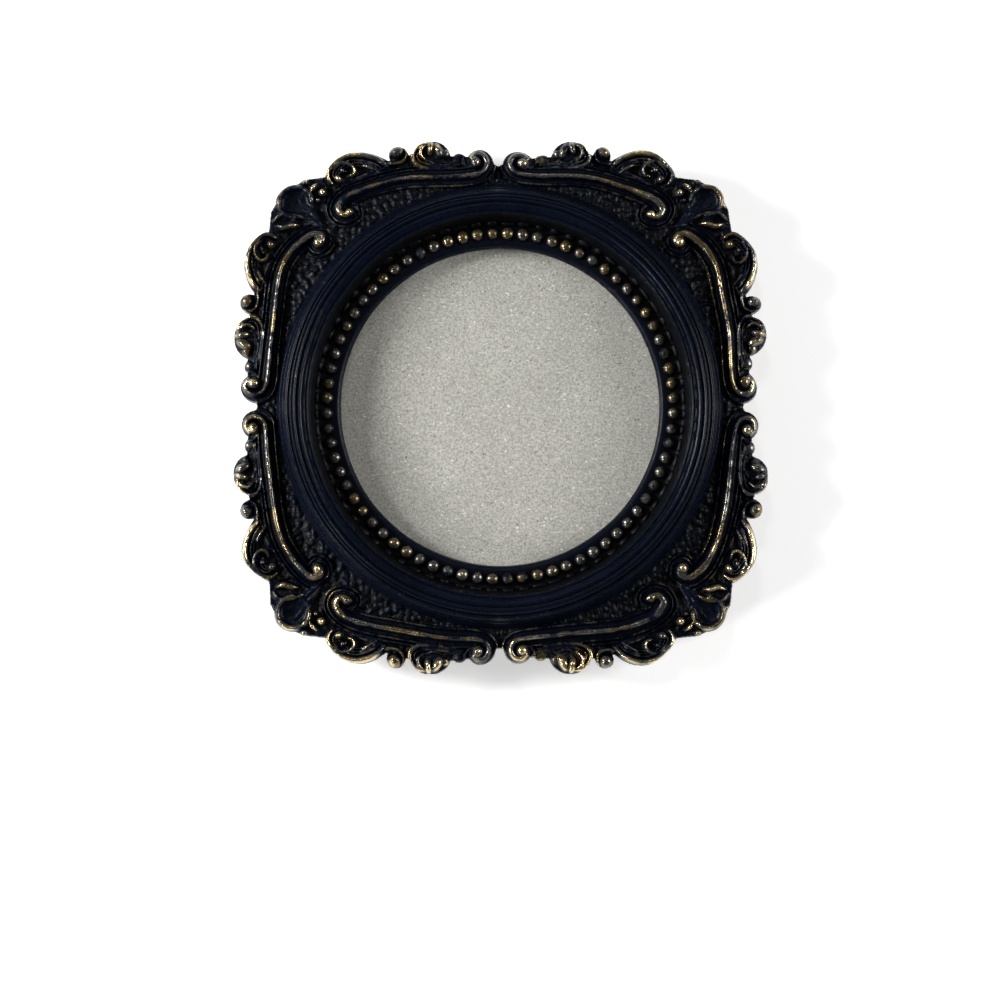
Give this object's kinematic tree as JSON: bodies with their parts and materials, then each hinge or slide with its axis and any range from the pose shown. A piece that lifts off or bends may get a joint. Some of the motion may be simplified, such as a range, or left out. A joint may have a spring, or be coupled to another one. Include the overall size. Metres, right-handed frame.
{
  "type": "photo frame",
  "caption": "Square baroque tabletop photo frame with a round beaded window, a glass pane, a backing card and an easel board with a folding leg and turn buttons.",
  "frame": {"origin": "centre of the frame's outline, on the table top it lies on, face up, with its easel leg folded flat", "axes": "+Z out of the picture side, +Y towards the top edge when the frame stands, +X to the right seen from the front"},
  "size_m": [0.1192, 0.1192, 0.017],
  "materials": {
    "painted_resin": "cast resin painted navy black, with antique gold rubbed over the raised ornament",
    "clear_glass": "clear sheet",
    "grey_chipboard": "bare grey card with fine flecks",
    "black_covered_board": "board covered in matt black paper",
    "plated_steel": "nickel plated",
    "blackened_steel": "blackened"
  },
  "bodies": {
    "frame": {"resin_casting": "painted_resin", "glass_pane": "clear_glass", "backing_card": "grey_chipboard", "easel_board": "black_covered_board", "hinge_fixed_leaf": "plated_steel", "hinge_pin": "plated_steel", "board_rivet_left": "plated_steel", "board_rivet_right": "plated_steel", "button_screw_upper_right": "plated_steel", "button_screw_lower_right": "plated_steel", "button_screw_upper_left": "plated_steel", "button_screw_lower_left": "plated_steel"},
    "leg": {"easel_leg": "black_covered_board", "hinge_moving_leaf": "plated_steel", "leg_rivet_left": "plated_steel", "leg_rivet_right": "plated_steel"},
    "button_upper_right": {"turn_button_upper_right": "blackened_steel"},
    "button_lower_right": {"turn_button_lower_right": "blackened_steel"},
    "button_upper_left": {"turn_button_upper_left": "blackened_steel"},
    "button_lower_left": {"turn_button_lower_left": "blackened_steel"}
  },
  "joints": [
    {"name": "leg_hinge", "type": "hinge", "parent": "frame", "child": "leg", "pos_m": [0, 0.02, 0.0012], "axis": [1, 0, 0], "range_deg": [0, 32]},
    {"name": "upper_right_button", "type": "hinge", "parent": "frame", "child": "button_upper_right", "pos_m": [0.04252, 0.02, 0.004], "axis": [0, 0, 1], "continuous": true},
    {"name": "lower_right_button", "type": "hinge", "parent": "frame", "child": "button_lower_right", "pos_m": [0.04252, -0.02, 0.004], "axis": [0, 0, 1], "continuous": true},
    {"name": "upper_left_button", "type": "hinge", "parent": "frame", "child": "button_upper_left", "pos_m": [-0.04252, 0.02, 0.004], "axis": [0, 0, 1], "continuous": true},
    {"name": "lower_left_button", "type": "hinge", "parent": "frame", "child": "button_lower_left", "pos_m": [-0.04252, -0.02, 0.004], "axis": [0, 0, 1], "continuous": true}
  ]
}
